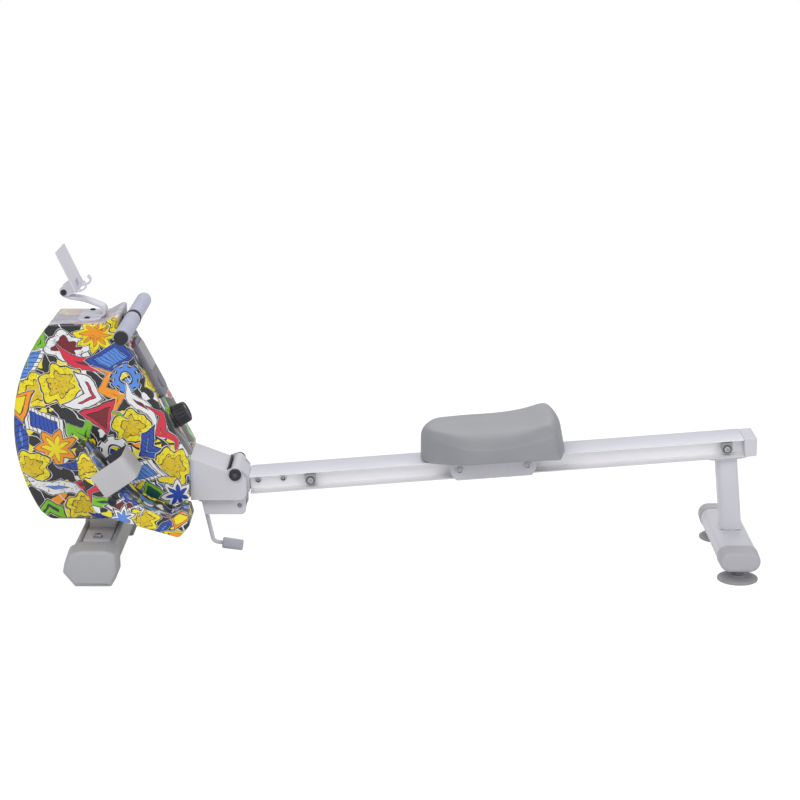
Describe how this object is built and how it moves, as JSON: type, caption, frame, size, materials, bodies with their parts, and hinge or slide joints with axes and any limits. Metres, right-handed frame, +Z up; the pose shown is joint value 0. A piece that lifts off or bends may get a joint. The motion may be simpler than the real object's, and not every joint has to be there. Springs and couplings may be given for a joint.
{
  "type": "magnetic rowing machine",
  "caption": "Folding magnetic rowing machine: flywheel housing on a front stand, pull handle, tilting pedals with foot straps, and a seat rolling on an aluminium rail.",
  "frame": {"origin": "on the floor, at the middle of the machine's outline seen from above", "axes": "+X along the rail from the flywheel housing to the rear foot, +Y across, +Z up"},
  "size_m": [1.7571, 0.448, 0.7628],
  "materials": {
    "silver_paint": "satin",
    "grey_plastic": "matte",
    "light_plastic": "satin",
    "printed_shell": "printed, satin",
    "black_plastic": "matte",
    "grip_foam": "matte foam",
    "bright_steel": "bright",
    "cast_iron": "painted",
    "anodised_rail": "anodised",
    "seat_foam": "moulded foam",
    "webbing": "woven",
    "strap_rubber": "matte"
  },
  "bodies": {
    "frame": {"main_frame": "silver_paint", "front_stabiliser": "silver_paint", "front_cap_left": "grey_plastic", "front_cap_right": "grey_plastic", "housing_left": "printed_shell", "housing_right": "printed_shell", "handle_cradle": "grey_plastic", "holder_arm": "light_plastic", "holder_pivot_screw": "black_plastic", "console_body": "grey_plastic", "console_screen": "light_plastic", "flywheel_axle": "bright_steel", "pulley_shaft": "bright_steel", "drive_belt": "webbing", "tension_cable": "black_plastic", "pull_strap": "webbing", "pedal_axle": "bright_steel", "rail_bracket": "silver_paint", "lock_box": "silver_paint", "fold_bolt": "black_plastic", "fold_bumper": "black_plastic"},
    "rail": {"rail": "anodised_rail", "rail_hinge": "silver_paint", "rail_end_cap": "light_plastic", "front_seat_stop": "grey_plastic", "rear_seat_stop": "grey_plastic", "rear_plate": "silver_paint", "rear_post": "silver_paint", "rear_stabiliser": "silver_paint", "rear_cap_left": "grey_plastic", "rear_cap_right": "grey_plastic"},
    "seat": {"seat_pad": "seat_foam", "seat_carriage": "silver_paint"},
    "handle": {"handle_bar": "silver_paint", "grip_left": "grip_foam", "grip_right": "grip_foam", "handle_cap_left": "black_plastic", "handle_cap_right": "black_plastic", "strap_loop": "webbing"},
    "reel": {"strap_reel": "black_plastic"},
    "guide": {"guide_roller": "grey_plastic"},
    "flywheel": {"flywheel": "cast_iron", "flywheel_bearing": "bright_steel"},
    "drive": {"drive_pulley": "black_plastic"},
    "brake": {"magnet_bracket": "grey_plastic"},
    "knob": {"tension_knob": "black_plastic"},
    "button": {"console_button": "grey_plastic"},
    "pedal_left": {"pedal_left": "printed_shell", "foot_strap_left": "strap_rubber"},
    "pedal_right": {"pedal_right": "printed_shell", "foot_strap_right": "strap_rubber"},
    "holder": {"media_holder": "light_plastic"},
    "crank": {"lock_crank": "silver_paint", "crank_grip": "grey_plastic"},
    "foot_left": {"foot_pad_left": "grey_plastic"},
    "foot_right": {"foot_pad_right": "grey_plastic"},
    "roller_front_left": {"roller_front_left": "black_plastic"},
    "roller_front_right": {"roller_front_right": "black_plastic"},
    "roller_rear_left": {"roller_rear_left": "black_plastic"},
    "roller_rear_right": {"roller_rear_right": "black_plastic"}
  },
  "joints": [
    {"name": "rail_fold", "type": "hinge", "parent": "frame", "child": "rail", "pos_m": [-0.359, 0, 0.2304], "axis": [0, -1, 0], "range_deg": [0, 82]},
    {"name": "seat_slide", "type": "slide", "parent": "rail", "child": "seat", "axis": [0.9969, 0, 0.0786], "range_m": [-0.329, 0.448]},
    {"name": "roller_front_left_spin", "type": "hinge", "parent": "seat", "child": "roller_front_left", "pos_m": [0.17393, 0, 0.23759], "axis": [0, 1, 0], "continuous": true},
    {"name": "roller_front_right_spin", "type": "hinge", "parent": "seat", "child": "roller_front_right", "pos_m": [0.17393, 0, 0.23759], "axis": [0, 1, 0], "continuous": true},
    {"name": "roller_rear_left_spin", "type": "hinge", "parent": "seat", "child": "roller_rear_left", "pos_m": [0.33543, 0, 0.25031], "axis": [0, 1, 0], "continuous": true},
    {"name": "roller_rear_right_spin", "type": "hinge", "parent": "seat", "child": "roller_rear_right", "pos_m": [0.33543, 0, 0.25031], "axis": [0, 1, 0], "continuous": true},
    {"name": "handle_pull", "type": "slide", "parent": "frame", "child": "handle", "axis": [1, 0, 0], "range_m": [0, 1], "stiffness_N_per_m": 12, "springref_m": -0.5},
    {"name": "reel_spin", "type": "hinge", "parent": "frame", "child": "reel", "pos_m": [-0.665, 0, 0.505], "axis": [0, 1, 0], "continuous": true},
    {"name": "guide_spin", "type": "hinge", "parent": "frame", "child": "guide", "pos_m": [-0.64, 0, 0.578], "axis": [0, 1, 0], "continuous": true},
    {"name": "flywheel_spin", "type": "hinge", "parent": "frame", "child": "flywheel", "pos_m": [-0.735, 0, 0.35], "axis": [0, 1, 0], "continuous": true},
    {"name": "drive_pulley_spin", "type": "hinge", "parent": "frame", "child": "drive", "pos_m": [-0.665, 0, 0.505], "axis": [0, 1, 0], "continuous": true},
    {"name": "knob_turn", "type": "hinge", "parent": "frame", "child": "knob", "pos_m": [-0.50522, 0, 0.35388], "axis": [0.8931, 0, 0.4498], "range_deg": [0, 270]},
    {"name": "brake_swing", "type": "hinge", "parent": "frame", "child": "brake", "pos_m": [-0.65589, 0, 0.26516], "axis": [0, -1, 0], "range_deg": [0, 4]},
    {"name": "button_press", "type": "slide", "parent": "frame", "child": "button", "axis": [-0.8931, 0, -0.4498], "range_m": [0, 0.0018], "stiffness_N_per_m": 400},
    {"name": "pedal_left_tilt", "type": "hinge", "parent": "frame", "child": "pedal_left", "pos_m": [-0.632, 0, 0.208], "axis": [0, -1, 0], "range_deg": [0, 25]},
    {"name": "pedal_right_tilt", "type": "hinge", "parent": "frame", "child": "pedal_right", "pos_m": [-0.632, 0, 0.208], "axis": [0, -1, 0], "range_deg": [0, 25]},
    {"name": "holder_tilt", "type": "hinge", "parent": "frame", "child": "holder", "pos_m": [-0.757, 0, 0.661], "axis": [0, 1, 0], "range_deg": [-20, 12]},
    {"name": "crank_turn", "type": "hinge", "parent": "frame", "child": "crank", "pos_m": [-0.42, 0, 0.041], "axis": [-0.2125, 0, 0.9772], "range_deg": [-80, 80]},
    {"name": "foot_left_screw", "type": "hinge", "parent": "rail", "child": "foot_left", "pos_m": [0.828, -0.158, 0], "axis": [0, 0, 1], "continuous": true},
    {"name": "foot_right_screw", "type": "hinge", "parent": "rail", "child": "foot_right", "pos_m": [0.828, 0.158, 0], "axis": [0, 0, 1], "continuous": true}
  ],
  "couplings": [
    {"joint": "roller_front_left_spin", "follows": "seat_slide", "rad_per_m": 71.429},
    {"joint": "roller_front_right_spin", "follows": "seat_slide", "rad_per_m": 71.429},
    {"joint": "roller_rear_left_spin", "follows": "seat_slide", "rad_per_m": 71.429},
    {"joint": "roller_rear_right_spin", "follows": "seat_slide", "rad_per_m": 71.429},
    {"joint": "reel_spin", "follows": "handle_pull", "rad_per_m": 33.84},
    {"joint": "guide_spin", "follows": "handle_pull", "rad_per_m": 72.202},
    {"joint": "drive_pulley_spin", "follows": "flywheel_spin", "ratio": 0.32727},
    {"joint": "brake_swing", "follows": "knob_turn", "ratio": 0.0148}
  ]
}
